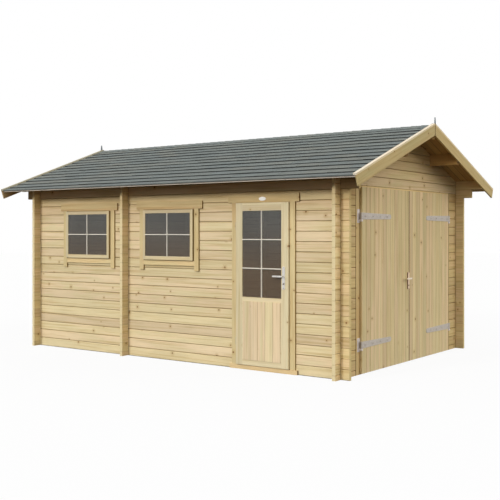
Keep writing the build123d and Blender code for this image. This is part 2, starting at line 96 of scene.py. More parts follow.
# Light: a soft sky that dims to its horizon and its top, a low key from the front, a fill from the far right
# and a weak low sun beside the camera. A sun is where it comes from, its strength and its spread in degrees
SKY_STRENGTH = 1.30
SKY_HORIZON = (0.12, 0.34, 0.04, 1.0)
SKY_TOP = (0.45, 1.0, 1.0, 0.35)
SUNS = {"key": ((-0.27, -0.91, 0.40), 1.57, 12), "fill": ((0.85, 0.42, 0.32), 0.76, 36),
        "low": ((0.60, -0.76, 0.25), 0.45, 40)}
FLOOR_RADIUS = 60
FLOOR_TURNS = 64
FLOOR_SHADE = 0.06
FLOOR_GLOW = 0.92
INSIDE_GLOW = 0.17


# Nodes of the procedural finishes and of the stage
def srgb(red, green, blue):
    """A colour given as 0 to 255, as the linear colour that Blender works in."""
    shares = [value / 255 for value in (red, green, blue)]
    linear = [s / 12.92 if s <= 0.04045 else ((s + 0.055) / 1.055) ** 2.4 for s in shares]
    return (*linear, 1.0)


class Nodes:
    """A node tree, with a short call for each kind of node that finishes and stage share."""

    def __init__(self, tree):
        self.tree = tree

    def add(self, kind, **settings):
        node = self.tree.nodes.new(kind)
        for key, value in settings.items():
            setattr(node, key, value)
        return node

    def put(self, socket, value):
        if isinstance(value, bpy.types.NodeSocket):
            self.tree.links.new(value, socket)
        else:
            socket.default_value = value

    def split(self, vector):
        node = self.add("ShaderNodeSeparateXYZ")
        self.put(node.inputs[0], vector)
        return node.outputs[0], node.outputs[1], node.outputs[2]

    def vector(self, x, y, z):
        node = self.add("ShaderNodeCombineXYZ")
        for socket, value in zip(node.inputs, (x, y, z)):
            self.put(socket, value)
        return node.outputs[0]

    def math(self, operation, *values):
        node = self.add("ShaderNodeMath", operation=operation)
        for socket, value in zip(node.inputs, values):
            self.put(socket, value)
        return node.outputs[0]

    def plus(self, first, second):
        return self.math("ADD", first, second)

    def minus(self, first, second):
        return self.math("SUBTRACT", first, second)

    def times(self, first, second):
        return self.math("MULTIPLY", first, second)

    def over(self, first, second):
        return self.math("DIVIDE", first, second)

    def above(self, value, limit):
        return self.math("GREATER_THAN", value, limit)

    def beyond(self, value, limit):
        """1 where a value is further than the limit from 0, to either side."""
        return self.above(self.math("ABSOLUTE", value), limit)

    def span(self, value, low, high, to_low=0.0, to_high=1.0, smooth=True):
        """A value's range from low to high, laid on the range from to_low to to_high."""
        kind = "SMOOTHSTEP" if smooth else "LINEAR"
        node = self.add("ShaderNodeMapRange", interpolation_type=kind)
        for name, part in zip(("Value", "From Min", "From Max", "To Min", "To Max"),
                              (value, low, high, to_low, to_high)):
            self.put(node.inputs[name], part)
        return node.outputs["Result"]

    def mix_value(self, share, first, second):
        node = self.add("ShaderNodeMix", data_type="FLOAT")
        for socket, value in ((0, share), (2, first), (3, second)):
            self.put(node.inputs[socket], value)
        return node.outputs[0]

    def seen(self):
        """1 for what the camera, a reflection or glass sees directly: for the floor and the sky alone."""
        path = self.add("ShaderNodeLightPath")
        share = path.outputs["Is Camera Ray"]
        for name in ("Is Glossy Ray", "Is Transmission Ray"):
            share = self.math("MAXIMUM", share, path.outputs[name])
        return share


class Finish(Nodes):
    """One material, with the textures and colours of its finish."""

    def __init__(self, name):
        self.material = bpy.data.materials.new(name)
        self.material.use_nodes = True
        super().__init__(self.material.node_tree)
        self.tree.nodes.clear()
        self.surface = self.add("ShaderNodeBsdfPrincipled")
        output = self.add("ShaderNodeOutputMaterial")
        self.put(output.inputs["Surface"], self.surface.outputs["BSDF"])
        self.coordinates = self.add("ShaderNodeTexCoord")

    def set(self, name, value):
        self.put(self.surface.inputs[name], value)

    def place(self):
        return self.split(self.coordinates.outputs["Object"])

    def facing(self):
        return self.split(self.coordinates.outputs["Normal"])

    def stretched(self, place, scales):
        """A texture place: (along, across, depth) with its own scale along and across the grain."""
        along, across = scales
        scaled = [self.times(part, scale) for part, scale in zip(place, (along, across, across))]
        return self.vector(*scaled)

    def noise(self, vector, scale=1.0, detail=2.0, roughness=0.5):
        node = self.add("ShaderNodeTexNoise")
        names = ("Vector", "Scale", "Detail", "Roughness")
        for name, value in zip(names, (vector, scale, detail, roughness)):
            self.put(node.inputs[name], value)
        return node.outputs[0]

    def cells(self, vector, scale, dimensions):
        """Scattered cells: the distance from a cell's heart, and two random numbers of the cell's own."""
        node = self.add("ShaderNodeTexVoronoi", voronoi_dimensions=dimensions)
        self.put(node.inputs["Vector"], vector)
        self.put(node.inputs["Scale"], scale)
        numbers = self.add("ShaderNodeSeparateColor")
        self.put(numbers.inputs[0], node.outputs["Color"])
        return node.outputs["Distance"], numbers.outputs[0], numbers.outputs[1]

    def random(self, number, salt):
        node = self.add("ShaderNodeTexWhiteNoise", noise_dimensions="1D")
        self.put(node.inputs["W"], self.plus(number, salt))
        return node.outputs[0]

    def wave(self, turns):
        return self.math("SINE", self.times(turns, math.tau))

    def mix(self, share, first, second, blend="MIX"):
        node = self.add("ShaderNodeMix", data_type="RGBA", blend_type=blend)
        for socket, value in ((0, share), (6, first), (7, second)):
            self.put(node.inputs[socket], value)
        return node.outputs[2]

    def darken(self, colour, factor):
        return self.mix(1.0, colour, self.vector(factor, factor, factor), blend="MULTIPLY")

    def tint(self, colour, share, first, second):
        """A colour under a tint that goes from the first to the second as the share goes from 0 to 1."""
        return self.mix(1.0, colour, self.mix(share, first, second), blend="MULTIPLY")

    def attribute(self, name):
        return self.add("ShaderNodeAttribute", attribute_name=name).outputs["Fac"]

    def bump(self, height, distance, strength=1.0):
        node = self.add("ShaderNodeBump")
        for name, value in (("Strength", strength), ("Distance", distance), ("Height", height)):
            self.put(node.inputs[name], value)
        self.set("Normal", node.outputs[0])


# Colours of the woods
WALL_WOOD = dict(pale=srgb(228, 211, 167), warm=srgb(229, 207, 169), deep=srgb(194, 167, 112),
                 ring=srgb(180, 144, 88), knot=srgb(128, 90, 50), joint=srgb(118, 86, 46))
DOOR_WOOD = dict(pale=srgb(228, 209, 160), warm=srgb(229, 204, 162), deep=srgb(194, 166, 108),
                 ring=srgb(180, 146, 90), knot=srgb(138, 102, 60), joint=srgb(118, 86, 46))
TRIM_WOOD = dict(pale=srgb(224, 204, 154), warm=srgb(222, 194, 145), deep=srgb(195, 162, 107),
                 ring=srgb(184, 150, 94), knot=srgb(124, 84, 44), joint=srgb(110, 80, 42))
SASH_WOOD = dict(pale=srgb(217, 202, 164), warm=srgb(215, 196, 158), deep=srgb(194, 172, 124),
                 ring=srgb(188, 160, 108), knot=srgb(140, 100, 58), joint=srgb(118, 86, 46))
LEAF_WOOD = dict(pale=srgb(226, 212, 174), warm=srgb(224, 206, 168), deep=srgb(202, 180, 132),
                 ring=srgb(196, 168, 116), knot=srgb(140, 100, 58), joint=srgb(118, 86, 46))
# The door gable's verge strips: a pale wood, partly their own colour and partly painted light on their tops
VERGE_WOOD = dict(pale=srgb(240, 231, 210), warm=srgb(238, 225, 204), deep=srgb(224, 206, 176),
                  ring=srgb(214, 190, 152), knot=srgb(150, 112, 70), joint=srgb(110, 80, 42))
# Painted shade: darker, greyer copies of the bargeboard and verge woods, for the rear gable
REAR_SHADE_WOOD = dict(pale=srgb(186, 162, 122), warm=srgb(178, 150, 110), deep=srgb(152, 122, 80),
                 ring=srgb(144, 112, 68), knot=srgb(104, 68, 36), joint=srgb(90, 62, 32))
REAR_VERGE_SHADE_WOOD = dict(pale=srgb(178, 172, 150), warm=srgb(172, 164, 140), deep=srgb(154, 144, 116),
                       ring=srgb(146, 134, 104), knot=srgb(104, 84, 60), joint=srgb(90, 72, 48))
PANEL_WOOD = dict(pale=srgb(226, 211, 168), warm=srgb(229, 206, 171), deep=srgb(204, 180, 134),
                  ring=srgb(196, 166, 118), knot=srgb(124, 84, 44), joint=srgb(128, 96, 58))
# Painted shade: darker, warmer wood for the roof boards and purlins, for the shade under the roof
ROOF_SHADE_WOOD = dict(pale=srgb(186, 152, 94), warm=srgb(180, 142, 86), deep=srgb(154, 116, 62),
                 ring=srgb(150, 110, 58), knot=srgb(97, 60, 26), joint=srgb(74, 48, 24))
BARGE_WOOD = dict(pale=srgb(206, 189, 134), warm=srgb(204, 180, 127), deep=srgb(180, 151, 94),
                  ring=srgb(174, 140, 82), knot=srgb(116, 78, 40), joint=srgb(84, 58, 28))
POST_WOOD = dict(pale=srgb(226, 199, 142), warm=srgb(222, 190, 134), deep=srgb(196, 159, 100),
                 ring=srgb(186, 144, 84), knot=srgb(124, 84, 44), joint=srgb(110, 80, 42))

# Grain: scales are (along, across) a board, ranges are (from low, from high, to low, to high)
BOARD_SHIFT = (91.0, 37.0)
BOARD_TONES = (0.90, 1.06)
TONE_SALT = 0.37
BLUSH_SALT = 5.11
BLUSH_PATCH = (0.35, 0.65, -0.35, 0.35)
BLUSH_RANGE = (0.2, 0.8)
WANDER_SCALES = (0.55, 7.0)
STREAK_SCALES = (1.1, 38.0)
STREAK_COVER = (0.42, 0.80, 0.0, 0.75)
FIBRE_SCALES = (16.0, 700.0)
FIBRE_TONES = (0.2, 0.8, 0.95, 1.03)
BROAD_SCALES = (0.8, 5.0)
PATCH_SCALES = (1.7, 9.0)
PATCH_TONES = (0.3, 0.7, 0.955, 1.045)
KNOT_SCALE = 2.8
KNOT_SHARE = 0.32
KNOT_SIZES = (0.006, 0.015)
KNOT_RIM = (1.1, 0.55)
KNOT_COVER = 0.85
HALO_RIM = (4.0, 0.8)
HALO_COVER = 0.35
RING_SPACING = 0.0105
RING_WANDER = 9.0
RING_BEND = 1.6
RING_LINE = (-0.2, 1.0)
RING_COVER = (0.35, 0.70, 0.06, 0.34)
END_HEART = 0.5
END_RINGS = 260.0
END_WOBBLE = 2.0
END_LINES = (0.0, 1.0, 0.0, 0.30)
WOOD_ROUGHNESS = (0.3, 0.8, 0.58, 0.74)
WOOD_SPECULAR = 0.08
GRAIN_DEPTH = 0.0006

# Joints of the woods, and tints that paint light and shade on them. The _NUMBERS keep boards in different
# places on different random tones
JOINT_EDGES = (0.001, 0.006)
JOINT_DARKEST = 0.72
END_FACING = 0.9
SIDE_FACING = 0.8
NOWHERE = 9.0
SIDE_NUMBERS = 50.0
RAIL_NUMBERS = 2.0
STILE_NUMBERS = 17.0
SLOPE_NUMBERS = 400.0
GABLE_NUMBERS = 7.0
FIN_JOINT = 0.40
# Painted shade and light on the fins' sides: warmer and darker on most, lighter on the door gable's, a little
# darker on the long walls'
FIN_SHADE_TINT = (1.0, 0.965, 0.86, 1.0)
DOOR_FIN_LIGHT_TINT = (1.14, 1.09, 0.95, 1.0)
CORNER_SHADE_TINT = (0.96, 0.95, 0.95, 1.0)
# Painted shade on the end faces of the long walls' logs, over their end grain
LOG_END_SHADE_TINT = (0.92, 0.86, 0.67, 1.0)
# Painted shade: the door gable's logs between its corners are darker and warmer
DOOR_WALL_SHADE_TINT = (0.88, 0.80, 0.63, 1.0)
# Painted shade in the crease beside logs that cross a wall
CORNER_SHADE_LINE = 0.009
CORNER_SHADE_DARK = 0.85
PLANK_TONES = (0.88, 1.08)
PANEL_TONES = (0.93, 1.03)
PLAIN = (1.0, 1.0, 1.0, 1.0)
# Painted shade: walls and casings grow darker and warmer from the lower to the upper eave height
EAVE_SHADE_TINT = (0.84, 0.78, 0.70, 1.0)
TRIM_EAVE_SHADE_TINT = (0.77, 0.72, 0.67, 1.0)
EAVE_SHADE_HEIGHTS = (1.80, 2.12)
# Painted shade: the door gable's top logs grow darker and warmer upwards between these heights, under the
# roof
APEX_SHADE_TINT = (0.86, 0.76, 0.56, 1.0)
APEX_SHADE_HEIGHTS = (1.90, 2.75)
# Painted light and shade on upright boards: lighter at their foot, darker at their head
LEAF_FOOT_LIGHT_TINT = (1.05, 1.05, 1.05, 1.0)
LEAF_HEAD_SHADE_TINT = (0.985, 0.96, 0.92, 1.0)
LEAF_SHADE_HEIGHTS = (0.0, 2.1)
# Painted shade on the sides of stiles that face +X
SIDE_SHADE_TINT = (0.50, 0.43, 0.31, 1.0)
# Painted warm bounce light on the sides of the garage posts: redder, with less green and blue
REVEAL_BOUNCE_TINT = (1.05, 0.82, 0.64, 1.0)
# Painted shade on the front faces of the verge strips
VERGE_FRONT_SHADE_TINT = (0.95, 0.88, 0.68, 1.0)
SOFFIT_JOINT_TINT = (0.45, 0.40, 0.34, 1.0)
# Darker ends: partly end grain, partly painted shade
END_GRAIN_AND_SHADE_TINT = (0.42, 0.38, 0.32, 1.0)
FRAME_JOINT = 0.015
FRAME_JOINT_DARK = 0.85
APEX_JOINT = (0.004, 0.013, 0.95, 0.0)
# Painted shade on the sides of the garage plates that face the front
NICKEL_SIDE_SHADE = (0.14, 0.065, 0.02, 1.0)
# Painted highlight: a near-white colour for the ends of the roof boards at the eaves
EAVE_EDGE_HIGHLIGHT = srgb(250, 236, 216)


def wood(finish, place, board, palette, shade=None, end=None, tones=BOARD_TONES, tints=()):
    """Sawn spruce: streaks and growth rings along each board, knots, and a tone of each board's own."""
    _, across, depth = place
    tone = finish.random(board, TONE_SALT)
    shifted = [finish.plus(part, finish.times(tone, shift)) for part, shift in zip(place, BOARD_SHIFT)]
    place = (*shifted, depth)

    # Knots: one to a cell where the cell's number allows it
    distance, size, chance = finish.cells(finish.vector(*shifted, 0.0), KNOT_SCALE, "2D")
    radius = finish.span(size, 0.0, 1.0, *KNOT_SIZES, smooth=False)
    reach = finish.over(finish.over(distance, KNOT_SCALE), radius)
    has_knot = finish.above(chance, KNOT_SHARE)
    knot = finish.times(finish.span(reach, *KNOT_RIM), has_knot)
    halo = finish.times(finish.span(reach, *HALO_RIM), has_knot)

    # Growth rings that wander along the board and bend round the knots
    wander = finish.noise(finish.stretched(place, WANDER_SCALES))
    bend = finish.plus(finish.times(wander, RING_WANDER), finish.times(halo, RING_BEND))
    turns = finish.plus(finish.over(place[1], RING_SPACING), bend)
    rings = finish.span(finish.wave(turns), *RING_LINE)
    streak = finish.noise(finish.stretched(place, STREAK_SCALES), detail=3.0, roughness=0.6)
    fibre = finish.noise(finish.stretched(place, FIBRE_SCALES), detail=1.0)
    broad = finish.noise(finish.stretched(place, BROAD_SCALES), detail=1.0)
    patch = finish.noise(finish.stretched(place, PATCH_SCALES))

    blush = finish.plus(finish.random(board, BLUSH_SALT), finish.span(patch, *BLUSH_PATCH))
    colour = finish.mix(finish.span(blush, *BLUSH_RANGE), palette["pale"], palette["warm"])
    colour = finish.mix(finish.span(streak, *STREAK_COVER), colour, palette["deep"])
    ring_share = finish.times(rings, finish.span(broad, *RING_COVER))
    colour = finish.mix(ring_share, colour, palette["ring"])
    colour = finish.darken(colour, finish.span(tone, 0.0, 1.0, *tones, smooth=False))
    colour = finish.darken(colour, finish.span(fibre, *FIBRE_TONES))
    colour = finish.darken(colour, finish.span(patch, *PATCH_TONES))
    colour = finish.mix(finish.times(halo, HALO_COVER), colour, palette["ring"])
    colour = finish.mix(finish.times(knot, KNOT_COVER), colour, palette["knot"])
    if end is not None:
        colour = finish.mix(end, colour, end_grain(finish, across, depth, palette))
    for share, first, second in tints:
        colour = finish.tint(colour, share, first, second)
    if shade is not None:
        colour = finish.mix(shade, colour, palette["joint"])
    finish.set("Base Color", colour)
    finish.set("Roughness", finish.span(streak, *WOOD_ROUGHNESS))
    finish.set("Specular IOR Level", WOOD_SPECULAR)
    lines = finish.times(finish.plus(rings, fibre), 0.5)
    finish.bump(finish.plus(lines, knot), GRAIN_DEPTH)


def end_grain(finish, across, depth, palette):
    """Rings round a heart beside the log, on the ends of the logs."""
    wobble = finish.noise(finish.vector(across, depth, 0.0), scale=30.0, detail=1.0)
    squares = [finish.math("POWER", part, 2.0) for part in (across, finish.plus(depth, END_HEART))]
    radius = finish.math("SQRT", finish.plus(*squares))
    turns = finish.plus(finish.times(radius, END_RINGS), finish.times(wobble, END_WOBBLE))
    return finish.mix(finish.span(finish.wave(turns), *END_LINES), palette["pale"], palette["deep"])


def joint_shade(finish, height, pitch, darkest=JOINT_DARKEST):
    """How dark the V joint between two boards is: height is measured across the boards from a joint."""
    turn = finish.math("FRACT", finish.over(height, pitch))
    nearest = finish.math("MINIMUM", turn, finish.minus(1.0, turn))
    return finish.span(finish.times(nearest, pitch), *JOINT_EDGES, darkest, 0.0)


def corner_shade_lines(finish, along, starts):
    """Painted shade in the creases where logs that cross a wall come through it: a dark line that starts at
    each place along it.
    """
    lines = 0.0
    for start in starts:
        past = finish.minus(along, start)
        inside = finish.times(finish.above(past, 0.0), finish.span(past, 0.0, CORNER_SHADE_LINE, CORNER_SHADE_DARK, 0.0))
        lines = finish.math("MAXIMUM", lines, inside)
    return lines


def log_wood(name, along_x, heights=EAVE_SHADE_HEIGHTS, tint=EAVE_SHADE_TINT, painted_fin_tint=FIN_SHADE_TINT, painted_wall_tint=PLAIN):
    """Logs of a long wall or of a gable, whose joints stand half a log higher."""
    finish = Finish(name)
    x, y, z = finish.place()
    facing_x, facing_y, _ = finish.facing()
    height = z if along_x else finish.minus(z, LOG_STEP)
    course = finish.math("FLOOR", finish.over(height, LOG_PITCH))
    along, depth, ends = (x, y, facing_x) if along_x else (y, x, facing_y)
    far_side = finish.times(finish.above(depth, 0.0), SIDE_NUMBERS)
    end = finish.beyond(ends, END_FACING)
    fin = finish.beyond(along, HOUSE_HALF_LENGTH if along_x else HOUSE_HALF_WIDTH)
    fin_side = finish.times(fin, finish.minus(1.0, end))
    joint = finish.times(joint_shade(finish, height, LOG_PITCH), finish.mix_value(fin, 1.0, FIN_JOINT))
    # Painted shade and light: darker and warmer towards the given heights, with their own tints on the fins'
    # sides and on the wall between the fins
    tints = [(finish.span(z, *heights), PLAIN, tint), (fin_side, PLAIN, painted_fin_tint), (fin, painted_wall_tint, PLAIN)]
    if along_x:
        joint = finish.math("MAXIMUM", joint, corner_shade_lines(finish, x, (HOUSE_HALF_LENGTH, TIE_LINE)))
        # Painted shade on the long walls' fin sides and on their logs' end faces
        tints += [(fin_side, PLAIN, CORNER_SHADE_TINT), (end, PLAIN, LOG_END_SHADE_TINT)]
    number = finish.plus(course, far_side)
    wood(finish, (along, height, depth), number, WALL_WOOD, shade=joint, end=end, tints=tints)
    return finish.material


def straight_wood(name, along_x, palette):
    """One timber along X or Y, dark on its ends: partly its end grain, partly painted shade."""
    finish = Finish(name)
    x, y, z = finish.place()
    facing_x, facing_y, _ = finish.facing()
    along, depth, ends = (x, y, facing_x) if along_x else (y, x, facing_y)
    end = finish.beyond(ends, END_FACING)
    wood(finish, (along, z, depth), finish.math("SIGN", depth), palette, tints=((end, PLAIN, END_GRAIN_AND_SHADE_TINT),))
    return finish.material


def plank_wood(name, palette, tones):
    """Upright boards that carry their own number, with painted light towards their foot and painted shade
    towards their head.
    """
    finish = Finish(name)
    x, y, z = finish.place()
    up = finish.span(z, *LEAF_SHADE_HEIGHTS, smooth=False)
    wood(finish, (z, finish.plus(x, y), finish.minus(x, y)), finish.attribute("board"),
         palette, shade=finish.attribute("edge_and_shadow"), tones=tones, tints=((up, LEAF_FOOT_LIGHT_TINT, LEAF_HEAD_SHADE_TINT),))
    return finish.material


def framed_wood(name, palette, centre, half, head=NOWHERE, across_y=False, joint_from=NOWHERE,
                painted_side_tint=SIDE_SHADE_TINT, eave_shade_tint=PLAIN):
    """Upright stiles beside level rails: stiles stand past half from the centre, below the head."""
    finish = Finish(name)
    x, y, z = finish.place()
    facing_x, facing_y, _ = finish.facing()
    level, depth = (y, x) if across_y else (x, y)
    offset = finish.minus(level, centre)
    outer = finish.beyond(offset, half)
    stile = finish.times(outer, finish.math("LESS_THAN", z, head))
    along = finish.mix_value(stile, level, z)
    across = finish.mix_value(stile, z, level)
    rail_number = finish.math("FLOOR", finish.times(z, RAIL_NUMBERS))
    stile_number = finish.times(finish.math("SIGN", offset), STILE_NUMBERS)
    board = finish.mix_value(stile, rail_number, stile_number)
    joint = finish.times(finish.beyond(offset, joint_from), FRAME_JOINT_DARK)
    # The side tint paints shade on the stiles' sides that face +X; across Y, on the garage posts, it paints
    # warm bounce light on the sides that face ±Y
    if across_y:
        aside = finish.beyond(facing_y, SIDE_FACING)
    else:
        aside = finish.times(finish.above(facing_x, SIDE_FACING), outer)
    # Painted shade: darker and warmer towards the eaves where an eave tint is given
    eave = finish.span(z, *EAVE_SHADE_HEIGHTS)
    wood(finish, (along, across, depth), board, palette, shade=joint,
         tints=((aside, PLAIN, painted_side_tint), (eave, PLAIN, eave_shade_tint)))
    return finish.material


def slope_wood(name, palette, boards=0.0, front_shade_tint=PLAIN):
    """Wood that follows the roof: bargeboards along the slope, or roof boards side by side down it."""
    finish = Finish(name)
    x, y, z = finish.place()
    out = finish.math("ABSOLUTE", y)
    down = finish.minus(finish.times(out, math.cos(ROOF_ANGLE)), finish.times(z, math.sin(ROOF_ANGLE)))
    lift = finish.plus(finish.times(out, math.sin(ROOF_ANGLE)), finish.times(z, math.cos(ROOF_ANGLE)))
    facing_x, facing_y, _ = finish.facing()
    if boards:
        slope = finish.times(finish.math("SIGN", y), SLOPE_NUMBERS)
        board = finish.plus(finish.math("FLOOR", finish.over(x, boards)), slope)
        joint = joint_shade(finish, x, boards, darkest=1.0)
        # The boards' ends that face the eaves take a painted highlight, through the palette's joint colour
        wood(finish, (down, x, lift), board, dict(palette, joint=EAVE_EDGE_HIGHLIGHT),
             shade=finish.beyond(facing_y, SIDE_FACING), tints=((joint, PLAIN, SOFFIT_JOINT_TINT),))
    else:
        gable = finish.times(finish.math("SIGN", x), GABLE_NUMBERS)
        board = finish.plus(finish.math("SIGN", y), gable)
        # Painted shade on the faces that face +X, where a front tint is given
        front = finish.above(facing_x, SIDE_FACING)
        wood(finish, (down, lift, x), board, palette, shade=finish.span(out, *APEX_JOINT),
             tints=((front, PLAIN, front_shade_tint),))
    return finish.material


# Shingles, glass and metal: ranges are as those of the grain
SHINGLE_TONES = (srgb(115, 121, 117), srgb(119, 121, 114), srgb(110, 117, 115))
SHINGLE_PATCHES = (0.3, 0.7, 0.93, 1.06)
GRANULE_TONES = (0.3, 0.7, 0.72, 1.22)
GRANULE_ROUGHNESS = (0.3, 0.7, 0.8, 0.95)
GRANULE_DEPTH = 0.0015
BUTT_SHADOW_DARK = 0.14
PANE_COVER = 0.55
PANE_FOOT = srgb(108, 89, 68)
PANE_HEAD = srgb(102, 102, 98)
PANE_HEIGHTS = (1.0, 2.0)
PANE_TONES = (0.3, 0.7, 0.92, 1.08)
PANE_ROUGHNESS = (0.3, 0.7, 0.04, 0.09)
ZINC_TONES = (0.3, 0.7, 0.92, 1.04)
ZINC_ROUGHNESS = (0.0, 1.0, 0.50, 0.66)
ZINC_METALLIC = 0.25
ENAMEL_ROUGHNESS = (0.3, 0.7, 0.25, 0.4)
BRUSH_SCALES = (900.0, 900.0, 40.0)
BRUSH_SPREAD = 0.12


def shingle_finish():
    """Mineral granules on slate-grey tabs of slightly different tones. Each tab's dark lower end and the band
    under the next course are partly their own dark edge and print, partly painted shadow.
    """
    finish = Finish("slate_granules")
    place = finish.coordinates.outputs["Object"]
    granules = finish.noise(place, scale=420.0, roughness=0.7)
    patches = finish.noise(place, scale=5.0, detail=3.0, roughness=0.6)
    number = finish.attribute("board")
    first, second, third = SHINGLE_TONES
    colour = finish.mix(finish.random(number, 0.5), first, second)
    colour = finish.mix(finish.random(number, 8.3), colour, third)
    colour = finish.darken(colour, finish.span(patches, *SHINGLE_PATCHES))
    colour = finish.darken(colour, finish.span(granules, *GRANULE_TONES))
    # Painted shadow over the tabs' own dark edges: darker as a face's share rises
    colour = finish.darken(colour, finish.span(finish.attribute("edge_and_shadow"), 0.0, 1.0, 1.0, BUTT_SHADOW_DARK))
    finish.set("Base Color", colour)
    finish.set("Roughness", finish.span(granules, *GRANULE_ROUGHNESS))
    finish.set("Specular IOR Level", 0.2)
    finish.bump(granules, GRANULE_DEPTH)
    return finish.material


def glass_finish():
    """Window glass over a dark room: a smoky pane, part see-through, with faint unevenness in its gloss."""
    finish = Finish("dark_pane")
    waves = finish.noise(finish.coordinates.outputs["Object"], scale=2.2, detail=1.0)
    _, _, z = finish.place()
    colour = finish.mix(finish.span(z, *PANE_HEIGHTS), PANE_FOOT, PANE_HEAD)
    finish.set("Base Color", finish.darken(colour, finish.span(waves, *PANE_TONES)))
    finish.set("Roughness", finish.span(waves, *PANE_ROUGHNESS))
    finish.set("Specular IOR Level", 0.4)
    finish.set("Alpha", PANE_COVER)
    finish.bump(waves, 0.0004, strength=0.3)
    return finish.material


def galvanised_finish(name, dark, light):
    """Zinc-coated steel: flat spangles of slightly different greys."""
    finish = Finish(name)
    place = finish.coordinates.outputs["Object"]
    _, grey, gloss = finish.cells(place, 110.0, "3D")
    smear = finish.noise(place, scale=26.0, detail=3.0)
    colour = finish.darken(finish.mix(grey, dark, light), finish.span(smear, *ZINC_TONES))
    finish.set("Base Color", colour)
    finish.set("Metallic", ZINC_METALLIC)
    finish.set("Roughness", finish.span(gloss, *ZINC_ROUGHNESS, smooth=False))
    finish.bump(smear, 0.0003)
    return finish.material


def metal_finish(name, dark, light, rough, metallic=1.0, painted_side_tint=PLAIN):
    """Satin metal with fine brushed streaks up it, with painted shade from the side tint on the sides that
    face the front.
    """
    finish = Finish(name)
    scaled = [finish.times(part, scale) for part, scale in zip(finish.place(), BRUSH_SCALES)]
    brushed = finish.noise(finish.vector(*scaled))
    _, facing_y, _ = finish.facing()
    aside = finish.math("LESS_THAN", facing_y, -0.5)
    finish.set("Base Color", finish.tint(finish.mix(brushed, dark, light), aside, PLAIN, painted_side_tint))
    finish.set("Metallic", metallic)
    finish.set("Roughness", finish.span(brushed, 0.3, 0.7, rough, rough + BRUSH_SPREAD))
    finish.bump(brushed, 0.0001)
    return finish.material


def enamel_finish(name, dark, light):
    """Cream paint or enamel, a little mottled."""
    finish = Finish(name)
    mottle = finish.noise(finish.coordinates.outputs["Object"], scale=60.0, detail=3.0)
    finish.set("Base Color", finish.mix(mottle, dark, light))
    finish.set("Roughness", finish.span(mottle, *ENAMEL_ROUGHNESS))
    finish.bump(mottle, 0.0003)
    return finish.material


# Mesh pieces
class Shape:
    """Collects closed solids for one piece, with a number on each face and a share that darkens it: dark
    joints on boards, and on shingles their dark edges with painted shadow.
    """

    def __init__(self):
        self.points = []
        self.faces = []
        self.boards = []
        self.edges = []

    def solid(self, points, faces, board=0.0, edges=None):
        first = len(self.points)
        self.points.extend(points)
        self.faces.extend([[first + corner for corner in face] for face in faces])
        self.boards.extend([board] * len(faces))
        self.edges.extend(edges or [0.0] * len(faces))

    def prism(self, outline, vector, board=0.0, edges=None):
        """A flat outline of points swept along a vector."""
        count = len(outline)
        far = [Vector(point) + Vector(vector) for point in outline]
        sides = [[i, (i + 1) % count, count + (i + 1) % count, count + i] for i in range(count)]
        caps = [list(range(count))[::-1], list(range(count, 2 * count))]
        side_edges = list(edges) if edges else [0.0] * count
        self.solid([Vector(point) for point in outline] + far, sides + caps, board, side_edges + [0.0, 0.0])

    def stack(self, rings, tip=None):
        """Rings of points joined one to the next, with flat ends or a tip over the last ring."""
        count = len(rings[0])
        last = (len(rings) - 1) * count
        points = [point for ring in rings for point in ring]
        faces = [[start + i, start + (i + 1) % count, start + count + (i + 1) % count, start + count + i]
                 for start in range(0, last, count) for i in range(count)]
        if tip is None:
            faces.append(list(range(last, last + count)))
        else:
            points.append(tip)
            faces += [[last + i, last + (i + 1) % count, last + count] for i in range(count)]
        faces.append(list(range(count))[::-1])
        self.solid(points, faces)

    def piece(self, name, material, body, slot, replaced=(), smooth=False):
        """The piece as an object that rides on a body, and stands in for CAD nodes if it replaces any."""
        mesh = bpy.data.meshes.new(name)
        mesh.from_pydata([tuple(point) for point in self.points], [], self.faces)
        for label, values in (("board", self.boards), ("edge_and_shadow", self.edges)):
            mesh.attributes.new(label, "FLOAT", "FACE").data.foreach_set("value", values)
        mesh.materials.append(material)
        made = bpy.data.objects.new(name, mesh)
        bpy.context.scene.collection.objects.link(made)
        fix_normals(mesh)
        for face in mesh.polygons:
            face.use_smooth = smooth
        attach(made, body)
        if replaced:
            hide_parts(*replaced)
        return made


def fix_normals(mesh):
    """Turns every closed solid's faces outward."""
    work = bmesh.new()
    work.from_mesh(mesh)
    bmesh.ops.recalc_face_normals(work, faces=work.faces)
    work.to_mesh(mesh)
    work.free()


def circle(count):
    """The angles of a circle's points."""
    return [math.tau * i / count for i in range(count)]


def roof_point(side, x, down, lift):
    """A point on a slope: side -1 is the front, down is from the ridge, lift is square to the underside."""
    return Vector((x, side * (down * math.cos(ROOF_ANGLE) + lift * math.sin(ROOF_ANGLE)),
                   RIDGE_UNDERSIDE - down * math.sin(ROOF_ANGLE) + lift * math.cos(ROOF_ANGLE)))


def slope_strip(shape, side, x_range, profile, board, edges):
    """A strip along the roof with a section of (down, lift) pairs on one slope."""
    start, end = x_range
    outline = [roof_point(side, start, down, lift) for down, lift in profile]
    shape.prism(outline, (end - start, 0.0, 0.0), board, edges)


# Each tab face's darkness, from the underside round to the head: the butt's dark edge with painted shadow,
# then the painted shadow band under the next course's butt
TAB_EDGE_SHADOWS = [0.0, 1.0, 0.0, 0.45, 0.85, 0.0]
EAVE_TAB_EDGE_SHADOWS = [0.0, 0.15, 0.0, 0.45, 0.85, 0.0]
FELT_EDGES = [0.8, 0.15, 0.8, 0.8]


def tab_section(head, butt, floor, thick, shadow):
    """A tab's wedge, split where the next course shades it: from under the head round by the butt."""
    slope = (thick - TAB_HEAD) / (butt - head)
    splits = (butt, shadow + SHADOW_BAND, shadow + SHADOW_BAND / 2)
    tops = [(down, floor + TAB_HEAD + slope * (down - head)) for down in splits]
    return [(head, floor), (butt, floor), *tops, (head, floor + TAB_HEAD)]


